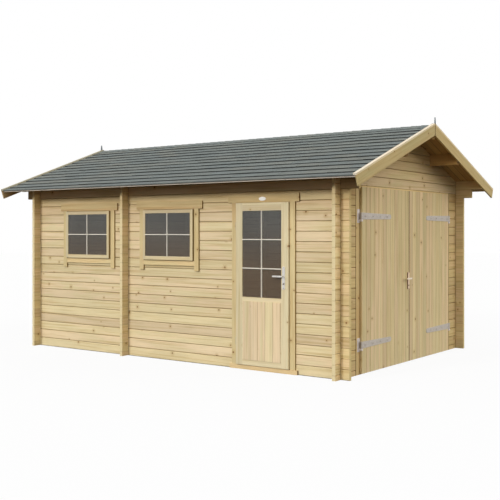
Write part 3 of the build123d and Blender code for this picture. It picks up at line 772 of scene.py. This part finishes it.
def tab_ends(low, high, offset):
    """Where one course's tabs start and end."""
    cuts = [low]
    place = low + offset
    while place < high - TAB_LEAST:
        if place > low + TAB_LEAST:
            cuts.append(place)
        place += TAB_WIDTH
    cuts.append(high)
    return zip(cuts[:-1], cuts[1:])


def make_shingles(name, side, node, material):
    """One slope's felt and its courses of tabs, staggered by half a tab."""
    low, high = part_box(node)
    strip = min(abs(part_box("door_gable_verge_strips")[0].x), abs(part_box("rear_gable_verge_strips")[1].x))
    reach = max(abs(low.y), abs(high.y))
    eave = (reach - ROOF_BOARD_TOP * math.sin(ROOF_ANGLE)) / math.cos(ROOF_ANGLE)
    base = ROOF_BOARD_TOP + SEAT
    felt_top = base + FELT_THICKNESS
    draw = random.Random(SHINGLE_SEED + side)
    shape = Shape()
    top, foot = FELT_INSET, eave - FELT_INSET
    felt = [(top, base), (foot, base), (foot, felt_top), (top, felt_top)]
    slope_strip(shape, side, (low.x, high.x), felt, 0.5, FELT_EDGES)
    for course in range(COURSES):
        butt = eave - (FIRST_EXPOSURE + (course - 1) * EXPOSURE if course else 0.0)
        shadow = butt - (EXPOSURE if course else FIRST_EXPOSURE)
        head = max(shadow - TAB_LAP, HIGHEST_HEAD)
        offset = TAB_WIDTH * (0.5 if course % 2 else 1.0) + draw.uniform(-TAB_SHUFFLE, TAB_SHUFFLE)
        for start, end in tab_ends(TAB_CLEARANCE - strip, strip - TAB_CLEARANCE, offset):
            slip = draw.uniform(-TAB_SLIP, TAB_SLIP) if course else 0.0
            thick = TAB_BUTT + draw.uniform(-TAB_UNEVEN, TAB_UNEVEN)
            section = tab_section(head, butt + slip, felt_top, thick, shadow)
            slope_strip(shape, side, (start + TAB_SLOT / 2, end - TAB_SLOT / 2), section, draw.random() * 100,
                        TAB_EDGE_SHADOWS if course else EAVE_TAB_EDGE_SHADOWS)
    return shape.piece(name, material, "building", "slate_shingle", (node,))


CAP_FACES = [[0, 1, 4, 3], [1, 2, 5, 4], [6, 9, 10, 7], [7, 10, 11, 8], [3, 4, 10, 9], [4, 5, 11, 10],
             [0, 6, 7, 1], [1, 7, 8, 2], [0, 3, 9, 6], [2, 8, 11, 5]]
# Each cap face's darkness: the butt ends and lower sides take their dark edge with painted shadow
CAP_EDGE_SHADOWS = [0.9, 0.9, 0.3, 0.3, 0.0, 0.0, 0.0, 0.0, 0.7, 0.7]


def make_ridge_caps(material):
    """Folded caps laid along the ridge, each over the end of the next."""
    low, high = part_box("ridge_shingles")
    base = ROOF_BOARD_TOP + FELT_THICKNESS + TAB_HEAD + CAP_LIFT
    draw = random.Random(CAP_SEED)
    shape = Shape()
    count = math.ceil((high.x - low.x) / CAP_EXPOSURE)
    step = (high.x - low.x) / count
    for cap in range(count):
        near = low.x + cap * step
        far = min(near + step + CAP_LAP, high.x)
        number = draw.random() * 100
        width = CAP_WIDTH + draw.uniform(-CAP_UNEVEN, CAP_UNEVEN)
        points = []
        for x, thick in ((near, CAP_BUTT), (far, CAP_HEAD)):
            for top in (base, base + thick):
                peak = RIDGE_UNDERSIDE + top / math.cos(ROOF_ANGLE)
                points += [roof_point(-1, x, width, top), Vector((x, 0.0, peak)),
                           roof_point(1, x, width, top)]
        shape.solid(points, CAP_FACES, number, CAP_EDGE_SHADOWS)
    return shape.piece("ridge_caps", material, "building", "slate_shingle", ("ridge_shingles",))


def board_outline(near, far, back, front, chamfers):
    """The section of an upright board, with the arrises of its two sides taken off: (across, out) pairs."""
    first, last = chamfers
    return [(near, back + first), (near + first, back), (far - last, back), (far, back + last),
            (far, front - last), (far - last, front), (near + first, front), (near, front - first)]


def board_shades(first, last):
    """The shade on each side of that section: none on the faces, and one for each of the two edges."""
    return [first, 0.0, last, last, last, 0.0, first, first]


PLANK_GAP = 0.0008
PLANK_SIDE = (0.003, 0.30)
HINGE_SIDE = (0.003, 0.0)
MEETING_SIDE = (0.007, 0.92)
LEFT_NUMBERS = 10
RIGHT_NUMBERS = 30
PANEL_NUMBERS = 70


def add_boards(shape, box, along_x, first, sides):
    """Upright boards side by side, numbered from the first: sides are each joint's chamfer and shade."""
    low, high = box
    across, out = (0, 1) if along_x else (1, 0)
    pitch = (high[across] - low[across]) / (len(sides) - 1)
    for board, ((near_cut, near_shade), (far_cut, far_shade)) in enumerate(zip(sides, sides[1:])):
        near = low[across] + board * pitch + PLANK_GAP / 2
        outline = board_outline(near, near + pitch - PLANK_GAP, low[out], high[out], (near_cut, far_cut))
        points = [(u, v, low.z) if along_x else (v, u, low.z) for u, v in outline]
        shape.prism(points, (0, 0, high.z - low.z), first + board, board_shades(near_shade, far_shade))


def make_leaf_boards(name, node, body, material, first, hinge_sign):
    """A garage leaf's boards, with broad arrises where the leaves meet: hinge sign -1 is the lower Y."""
    sides = [HINGE_SIDE] + [PLANK_SIDE] * (LEAF_BOARDS - 1) + [MEETING_SIDE]
    shape = Shape()
    add_boards(shape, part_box(node), False, first, sides if hinge_sign < 0 else sides[::-1])
    return shape.piece(name, material, body, "door_boards", (node,))


def make_panel_boards(material):
    """The side door's lower panel of upright boards."""
    shape = Shape()
    add_boards(shape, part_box("side_door_panel"), True, PANEL_NUMBERS, [PLANK_SIDE] * (PANEL_BOARDS + 1))
    return shape.piece("side_door_panel_boards", material, "side_door", "sash_wood", ("side_door_panel",))


BAR_WIDTH = 0.014
BAR_NOSE = 0.005
BAR_DEPTH = 0.012
BAR_SHOULDER = 0.006
BAR_SEAT = 0.0002


def bar_sections(glass_back, glass_front):
    """A glazing bar's outer and inner halves: (half width, y) outlines on the two faces of the glass."""
    for face, sign in ((glass_front, -1), (glass_back, 1)):
        base = face + sign * BAR_SEAT
        corners = [(BAR_WIDTH / 2, base), (BAR_WIDTH / 2, base + sign * BAR_SHOULDER),
                   (BAR_NOSE / 2, base + sign * BAR_DEPTH)]
        yield corners + [(-half, y) for half, y in reversed(corners)]


def make_bars(name, glass, columns, rows, body, material):
    """The glazing bars on both faces of a pane."""
    low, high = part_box(glass)
    shape = Shape()
    for section in bar_sections(high.y, low.y):
        for column in range(1, columns):
            x = low.x + (high.x - low.x) * column / columns
            shape.prism([(x + half, y, low.z) for half, y in section], (0, 0, high.z - low.z), column)
        for row in range(1, rows):
            z = low.z + (high.z - low.z) * row / rows
            shape.prism([(low.x, y, z + half) for half, y in section], (high.x - low.x, 0, 0), columns + row)
    return shape.piece(name, material, body, "sash_wood")


DOME_RINGS = ((1.0, 0.0), (1.0, 0.35), (0.82, 0.72), (0.45, 0.95))
DOME_TURNS = 14
BOLT_SHARES = (0.12, 0.36, 0.60, 0.84)
BOLT_SIZE = (0.010, 0.005)
STRAP_HALF = 0.04


def add_dome(shape, centre, out, size):
    """A low round head on a face: out is the face's direction, size the head's radius and height."""
    radius, height = size
    centre, out = Vector(centre), Vector(out)
    side = out.orthogonal().normalized()
    up = out.cross(side)
    rings = [[centre + radius * share * (side * math.cos(turn) + up * math.sin(turn)) + out * height * lift
              for turn in circle(DOME_TURNS)] for share, lift in DOME_RINGS]
    shape.stack(rings, centre + out * height)


def make_strap_bolts(name, straps, body, hinge_sign, material):
    """Coach bolt heads along the two straps of a garage leaf."""
    low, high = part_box(straps)
    root, tip = (low.y, high.y) if hinge_sign < 0 else (high.y, low.y)
    shape = Shape()
    for z in (low.z + STRAP_HALF, high.z - STRAP_HALF):
        for share in BOLT_SHARES:
            add_dome(shape, (high.x, root + (tip - root) * share, z), (1, 0, 0), BOLT_SIZE)
    return shape.piece(name, material, body, "galvanised_steel", smooth=True)


GRIP_PLATE_INSETS = (0.011, 0.032)
GRIP_PLATE_THICKNESS = 0.011
GRIP_PLATE_CHAMFER = 0.005
GRIP_PLATE_STEPS = 8
GRIP_PLATE_RIMS = ((0.0, 0.0), (0.0, GRIP_PLATE_THICKNESS - GRIP_PLATE_CHAMFER),
                   (GRIP_PLATE_CHAMFER, GRIP_PLATE_THICKNESS))


def plate_outline(middle, half, low, high, inset):
    """A tall plate's outline with round ends, as (across, height) pairs."""
    reach = half - inset
    ends = ((high - half, 0.0), (low + half, math.pi))
    return [(middle + reach * math.cos(start + math.pi * i / GRIP_PLATE_STEPS),
             height + reach * math.sin(start + math.pi * i / GRIP_PLATE_STEPS))
            for height, start in ends for i in range(GRIP_PLATE_STEPS + 1)]


def make_grip_plates(name, node, body, material):
    """The garage door's plates with round ends and chamfered rims, against the two faces of the leaf."""
    low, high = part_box(node)
    leaf_low, leaf_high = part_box("left_leaf_boards")
    middle, half = (low.y + high.y) / 2, (high.y - low.y) / 2
    foot, head = low.z + GRIP_PLATE_INSETS[0], high.z - GRIP_PLATE_INSETS[1]
    shape = Shape()
    for side, start in ((1, leaf_high.x), (-1, leaf_low.x)):
        shape.stack([[Vector((start + side * out, y, z))
                      for y, z in plate_outline(middle, half, foot, head, inset)]
                     for inset, out in GRIP_PLATE_RIMS])
    return shape.piece(name, material, body, "handle_metal", (node,))


LOCK_DROP = 0.090
LOCK_SIZE = (0.010, 0.006)
SCREW_SIZE = (0.0045, 0.002)
SCREW_INSET = 0.014


def make_locks(name, plates, lever, body, axis, material):
    """A lock cylinder under the lever and a screw at each end, on both plates of a door."""
    low, high = plates
    lever_low, lever_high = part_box(lever)
    middle = (low + high) / 2
    lock = (lever_low.z + lever_high.z) / 2 - LOCK_DROP
    shape = Shape()
    for side, face in ((-1, low), (1, high)):
        out = Vector((side, 0, 0)) if axis == "X" else Vector((0, side, 0))
        for z, size in ((lock, LOCK_SIZE), (low.z + SCREW_INSET, SCREW_SIZE),
                        (high.z - SCREW_INSET, SCREW_SIZE)):
            place = (face.x, middle.y, z) if axis == "X" else (middle.x, face.y, z)
            add_dome(shape, place, out, size)
    return shape.piece(name, material, body, "handle_metal", smooth=True)


def piece_box(piece):
    """The lowest and highest corners of a piece made here."""
    columns = list(zip(*(vertex.co for vertex in piece.data.vertices)))
    return Vector([min(column) for column in columns]), Vector([max(column) for column in columns])


OVAL_CENTRE = (1.510, 2.072)
OVAL_HALVES = (0.052, 0.024)
OVAL_RINGS = ((1.0, 0.0), (1.0, 0.002), (0.90, 0.004), (0.84, 0.003))
OVAL_TURNS = 32


def make_plate(material):
    """A small plain oval plate on the side door's head casing."""
    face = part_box("side_door_casing")[0].y
    (x, z), (wide, high) = OVAL_CENTRE, OVAL_HALVES
    shape = Shape()
    shape.stack([[Vector((x + wide * share * math.cos(turn), face - out, z + high * share * math.sin(turn)))
                  for turn in circle(OVAL_TURNS)] for share, out in OVAL_RINGS])
    return shape.piece("head_casing_plate", material, "building", "sash_wood")


# Finishes of the solids
WINDOW_HEAD_GAP = 0.008
DOOR_HEAD_GAP = 0.005
GARAGE_HALF_OPENING = 1.2
GARAGE_HEAD = 0.04


def paint(material, *names):
    """Gives CAD nodes a material."""
    for name in names:
        slots = nodes[name].data.materials
        slots.clear()
        slots.append(material)


paint(log_wood("long_wall_logs", True), "front_wall", "front_wall_corner", "front_wall_top", "back_wall")
paint(log_wood("gable_logs", False), "front_tie_logs", "back_tie_logs", "rear_gable_wall")
paint(log_wood("door_gable_logs", False, painted_fin_tint=DOOR_FIN_LIGHT_TINT, painted_wall_tint=DOOR_WALL_SHADE_TINT),
      "door_gable_front_logs", "door_gable_back_logs")
paint(log_wood("gable_top_logs", False, APEX_SHADE_HEIGHTS, APEX_SHADE_TINT), "door_gable_top_logs")
paint(straight_wood("purlin_wood", True, ROOF_SHADE_WOOD), "ridge_purlin", "side_purlins")
paint(slope_wood("roof_board_wood", ROOF_SHADE_WOOD, ROOF_BOARD_PITCH), "front_roof_boards", "back_roof_boards")
paint(slope_wood("bargeboard_wood", BARGE_WOOD), "door_gable_bargeboards")
paint(slope_wood("verge_wood", VERGE_WOOD, front_shade_tint=VERGE_FRONT_SHADE_TINT), "door_gable_verge_strips")
paint(slope_wood("rear_barge_shade_wood", REAR_SHADE_WOOD), "rear_gable_bargeboards")
paint(slope_wood("rear_verge_shade_wood", REAR_VERGE_SHADE_WOOD), "rear_gable_verge_strips")

for window in ("window_1", "window_2"):
    low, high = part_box(window + "_glass")
    sash_low, sash_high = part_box(window + "_sash")
    centre = (low.x + high.x) / 2
    paint(framed_wood(window + "_sash_wood", SASH_WOOD, centre, (high.x - low.x) / 2), window + "_sash")
    half = (sash_high.x - sash_low.x) / 2
    casing = framed_wood(window + "_casing_wood", TRIM_WOOD, centre, half, sash_high.z + WINDOW_HEAD_GAP,
                         eave_shade_tint=TRIM_EAVE_SHADE_TINT)
    paint(casing, window + "_casing", window + "_frame")

door_low, door_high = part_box("side_door_leaf")
door_centre = (door_low.x + door_high.x) / 2
door_glass_low, door_glass_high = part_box("side_door_glass")
door_light = (door_glass_high.x - door_glass_low.x) / 2
paint(framed_wood("side_door_wood", LEAF_WOOD, door_centre, door_light, painted_side_tint=PLAIN), "side_door_leaf")
door_half = (door_high.x - door_low.x) / 2
paint(framed_wood("side_door_casing_wood", TRIM_WOOD, door_centre, door_half, door_high.z + DOOR_HEAD_GAP,
                  eave_shade_tint=TRIM_EAVE_SHADE_TINT), "side_door_casing", "side_door_frame")
paint(straight_wood("threshold_wood", True, TRIM_WOOD), "side_door_threshold")
frame_low, frame_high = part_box("garage_frame")
frame_joint = (frame_high.y - frame_low.y) / 2 - FRAME_JOINT
paint(framed_wood("garage_frame_wood", POST_WOOD, (frame_low.y + frame_high.y) / 2, GARAGE_HALF_OPENING,
                  frame_high.z - GARAGE_HEAD, True, frame_joint, REVEAL_BOUNCE_TINT), "garage_frame")
paint(straight_wood("ledge_wood", False, DOOR_WOOD), "left_leaf_ledges", "right_leaf_ledges")

galvanised = galvanised_finish("zinc_spangle", srgb(183, 173, 160), srgb(198, 188, 177))
paint(galvanised, "left_leaf_straps", "right_leaf_straps")
# Painted light: the pintles take a lighter copy of the straps' zinc
paint(galvanised_finish("zinc_with_painted_light", srgb(214, 204, 196), srgb(228, 218, 212)),
      "left_pintles", "right_pintles")
paint(metal_finish("satin_chrome", srgb(186, 182, 176), srgb(220, 217, 212), 0.22),
      "side_door_handle_plates", "side_door_lever")
nickel = metal_finish("satin_nickel", srgb(206, 176, 142), srgb(234, 206, 174), 0.30, 0.4, NICKEL_SIDE_SHADE)
paint(metal_finish("bright_nickel", srgb(232, 214, 188), srgb(246, 232, 212), 0.25, 0.4), "garage_lever")
paint(metal_finish("hinge_steel", srgb(150, 148, 144), srgb(184, 182, 178), 0.30),
      "side_door_knuckles", "side_door_hinge_pins")
paint(metal_finish("finial_zinc", srgb(94, 101, 103), srgb(112, 118, 120), 0.50, 0.3), "ridge_finials")
paint(glass_finish(), "window_1_glass", "window_2_glass", "side_door_glass")

# Pieces of the looks
shingles = shingle_finish()
make_shingles("front_shingle_tabs", -1, "front_shingles", shingles)
make_shingles("back_shingle_tabs", 1, "back_shingles", shingles)
make_ridge_caps(shingles)
planks = plank_wood("door_plank_wood", DOOR_WOOD, PLANK_TONES)
panel_planks = plank_wood("panel_plank_wood", PANEL_WOOD, PANEL_TONES)
make_leaf_boards("left_leaf_planks", "left_leaf_boards", "left_leaf", planks, LEFT_NUMBERS, -1)
make_leaf_boards("right_leaf_planks", "right_leaf_boards", "right_leaf", planks, RIGHT_NUMBERS, 1)
make_panel_boards(panel_planks)
bar_paint = enamel_finish("bar_paint", srgb(228, 220, 202), srgb(238, 232, 218))
for window in ("window_1", "window_2"):
    make_bars(window + "_bars", window + "_glass", 2, 2, "building", bar_paint)
make_bars("side_door_bars", "side_door_glass", 2, 3, "side_door", bar_paint)
make_strap_bolts("left_strap_bolts", "left_leaf_straps", "left_leaf", -1, galvanised)
make_strap_bolts("right_strap_bolts", "right_leaf_straps", "right_leaf", 1, galvanised)
lock_steel = metal_finish("lock_steel", srgb(84, 72, 58), srgb(116, 102, 86), 0.35)
make_locks("side_door_locks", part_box("side_door_handle_plates"), "side_door_lever", "side_door", "Y",
           lock_steel)
grip_plates = make_grip_plates("garage_grip_plates", "garage_handle_plates", "left_leaf", nickel)
make_locks("garage_locks", piece_box(grip_plates), "garage_lever", "left_leaf", "X", lock_steel)
make_plate(enamel_finish("cream_enamel", srgb(244, 240, 230), srgb(252, 249, 242)))


# Stage, light and camera
def floor_material():
    """Matt, so that it takes the shadow, and lifted to white where it is seen, less so inside the walls."""
    material = bpy.data.materials.new("pale_floor")
    material.use_nodes = True
    net = Nodes(material.node_tree)
    net.tree.nodes.clear()
    x, y, _ = net.split(net.add("ShaderNodeTexCoord").outputs["Object"])
    outside = net.math("MAXIMUM", net.beyond(x, HOUSE_HALF_LENGTH), net.beyond(y, HOUSE_HALF_WIDTH))
    lift = net.span(outside, 0.0, 1.0, INSIDE_GLOW, FLOOR_GLOW, smooth=False)
    matt = net.add("ShaderNodeBsdfDiffuse")
    net.put(matt.inputs["Color"], (FLOOR_SHADE, FLOOR_SHADE, FLOOR_SHADE, 1.0))
    glow = net.add("ShaderNodeEmission")
    net.put(glow.inputs["Strength"], net.times(net.seen(), lift))
    both = net.add("ShaderNodeAddShader")
    net.put(both.inputs[0], matt.outputs[0])
    net.put(both.inputs[1], glow.outputs[0])
    net.put(net.add("ShaderNodeOutputMaterial").inputs["Surface"], both.outputs[0])
    return material


def make_floor():
    """A round pale floor under the part."""
    mesh = bpy.data.meshes.new("floor")
    rim = [FLOOR_RADIUS * Vector((math.cos(turn), math.sin(turn), 0.0)) for turn in circle(FLOOR_TURNS)]
    mesh.from_pydata(rim, [], [list(range(FLOOR_TURNS))])
    mesh.materials.append(floor_material())
    floor = bpy.data.objects.new("floor", mesh)
    bpy.context.scene.collection.objects.link(floor)


def make_sun(name, direction, strength, spread):
    """A lamp of nearly parallel light that comes from a direction."""
    lamp = bpy.data.lights.new(name, "SUN")
    lamp.energy = strength
    lamp.angle = math.radians(spread)
    sun = bpy.data.objects.new(name, lamp)
    sun.rotation_euler = Vector(direction).to_track_quat("Z", "Y").to_euler()
    bpy.context.scene.collection.objects.link(sun)


def make_sky():
    """White where it is seen, and a soft light on the object from well above the horizon."""
    world = bpy.data.worlds.new("studio_sky")
    world.use_nodes = True
    net = Nodes(world.node_tree)
    _, _, up = net.split(net.add("ShaderNodeTexCoord").outputs["Generated"])
    light = SKY_STRENGTH
    for limits in (SKY_HORIZON, SKY_TOP):
        light = net.times(net.span(up, *limits), light)
    back = net.tree.nodes["Background"]
    net.put(back.inputs["Color"], (1.0, 1.0, 1.0, 1.0))
    net.put(back.inputs["Strength"], net.mix_value(net.seen(), light, 1.0))
    bpy.context.scene.world = world


def make_camera():
    """A level camera with the photograph's view."""
    lens = bpy.data.cameras.new("photo_camera")
    lens.sensor_width = CAMERA_SENSOR
    lens.lens = CAMERA_LENS
    lens.shift_y = CAMERA_SHIFT_Y
    lens.clip_end = CAMERA_REACH
    camera = bpy.data.objects.new("photo_camera", lens)
    camera.location = CAMERA_PLACE
    camera.rotation_euler = (math.radians(90), 0.0, CAMERA_YAW)
    bpy.context.scene.collection.objects.link(camera)
    bpy.context.scene.camera = camera


make_floor()
for sun_name, sun_values in SUNS.items():
    make_sun(sun_name, *sun_values)
make_sky()
make_camera()
bpy.context.scene.view_settings.view_transform = "Standard"
